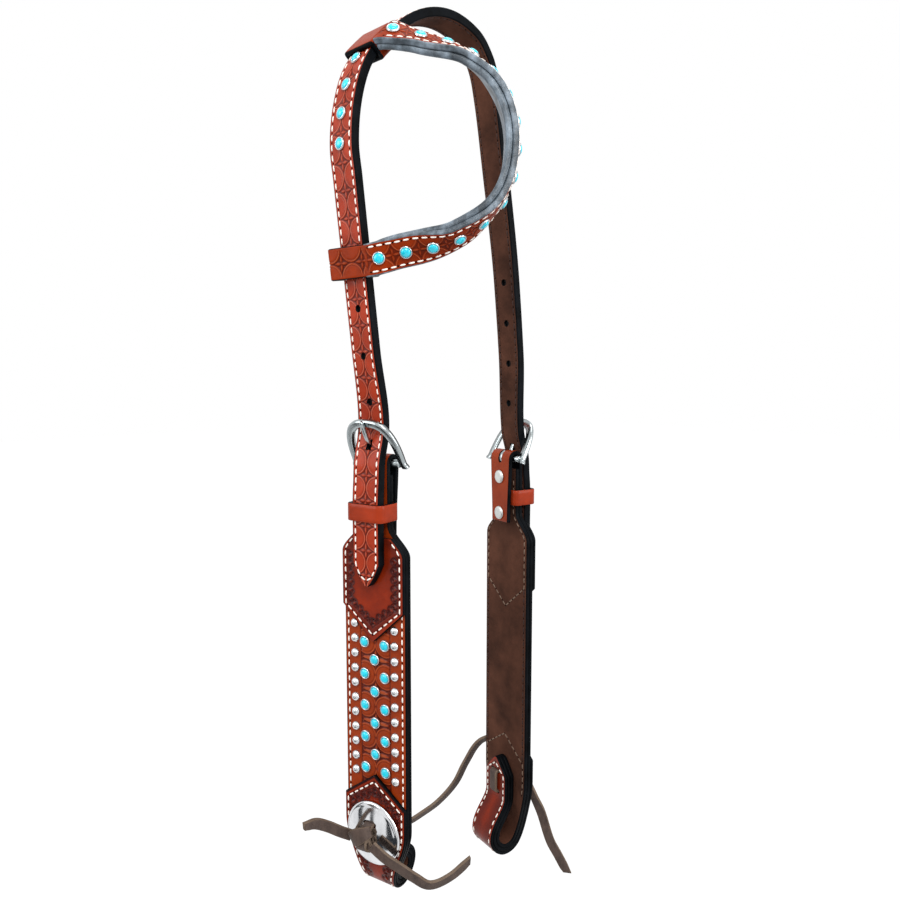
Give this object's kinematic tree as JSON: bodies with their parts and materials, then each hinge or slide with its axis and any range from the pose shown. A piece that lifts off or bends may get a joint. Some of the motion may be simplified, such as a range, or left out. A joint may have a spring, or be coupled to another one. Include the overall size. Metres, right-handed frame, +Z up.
{
  "type": "western headstall",
  "caption": "One-ear western headstall: tooled leather crown strap, padded slip-ear loop, wide cheeks buckled on, turquoise and silver spots, conchos and laces at the bit ends.",
  "frame": {"origin": "underside of the crown strap at its highest point, where the headstall rests on the poll", "axes": "+X to the front of the horse, -Y to its near (left) side, +Z up"},
  "size_m": [0.1392, 0.1957, 0.5516],
  "materials": {
    "tooled_leather": "tooled vegetable-tanned leather, oiled, semi-gloss",
    "plain_leather": "plain oiled leather, semi-gloss",
    "rough_leather": "dark rough-out lining, matte",
    "lace_leather": "taupe latigo lace, matte",
    "nickel": "polished nickel plate",
    "silver": "mirror polished silver plate"
  },
  "bodies": {
    "strap": {"crown_strap_face": "tooled_leather", "crown_strap_lining": "rough_leather", "ear_band_face": "tooled_leather", "ear_band_lining": "rough_leather", "ear_upper_sleeve": "tooled_leather", "near_cheek_face": "tooled_leather", "near_cheek_backing": "rough_leather", "near_upper_overlay": "tooled_leather", "near_lower_overlay": "tooled_leather", "near_upper_screw": "nickel", "near_lower_screw": "nickel", "near_concho": "silver", "near_lace_bight": "lace_leather", "near_lace_knot": "lace_leather", "near_lace_left_end": "lace_leather", "near_lace_right_end": "lace_leather", "far_cheek_face": "tooled_leather", "far_cheek_backing": "rough_leather", "far_upper_overlay": "tooled_leather", "far_lower_overlay": "tooled_leather", "far_upper_screw": "nickel", "far_lower_screw": "nickel", "far_concho": "silver", "far_lace_bight": "lace_leather", "far_lace_knot": "lace_leather", "far_lace_left_end": "lace_leather", "far_lace_right_end": "lace_leather"},
    "ear_sleeve": {"ear_lower_sleeve": "tooled_leather"},
    "near_buckle": {"near_buckle_frame": "nickel"},
    "near_tongue": {"near_buckle_tongue": "nickel"},
    "near_keeper_loop": {"near_keeper": "plain_leather"},
    "far_buckle": {"far_buckle_frame": "nickel"},
    "far_tongue": {"far_buckle_tongue": "nickel"},
    "far_keeper_loop": {"far_keeper": "plain_leather"}
  },
  "joints": [
    {"name": "ear_slip", "type": "slide", "parent": "strap", "child": "ear_sleeve", "axis": [0, -0.1171, 0.9931], "range_m": [-0.01, 0.01], "deforming": ["ear_band_face", "ear_band_lining"]},
    {"name": "near_buckle_hinge", "type": "hinge", "parent": "strap", "child": "near_buckle", "pos_m": [-0.0031, -0.0449, -0.2464], "axis": [0.9659, 0.2588, 0], "range_deg": [0, 3]},
    {"name": "near_tongue_hinge", "type": "hinge", "parent": "near_buckle", "child": "near_tongue", "pos_m": [-0.0031, -0.0449, -0.2464], "axis": [0.9659, 0.2588, 0], "range_deg": [0, 6]},
    {"name": "near_keeper_slide", "type": "slide", "parent": "strap", "child": "near_keeper_loop", "axis": [0, 0, 1], "range_m": [-0.001, 0.0075]},
    {"name": "far_buckle_hinge", "type": "hinge", "parent": "strap", "child": "far_buckle", "pos_m": [-0.0013, 0.0566, -0.2514], "axis": [-0.9877, 0.1564, 0], "range_deg": [0, 3]},
    {"name": "far_tongue_hinge", "type": "hinge", "parent": "far_buckle", "child": "far_tongue", "pos_m": [-0.0013, 0.0566, -0.2514], "axis": [-0.9877, 0.1564, 0], "range_deg": [0, 6]},
    {"name": "far_keeper_slide", "type": "slide", "parent": "strap", "child": "far_keeper_loop", "axis": [0, 0, 1], "range_m": [-0.003, 0.0055]}
  ]
}
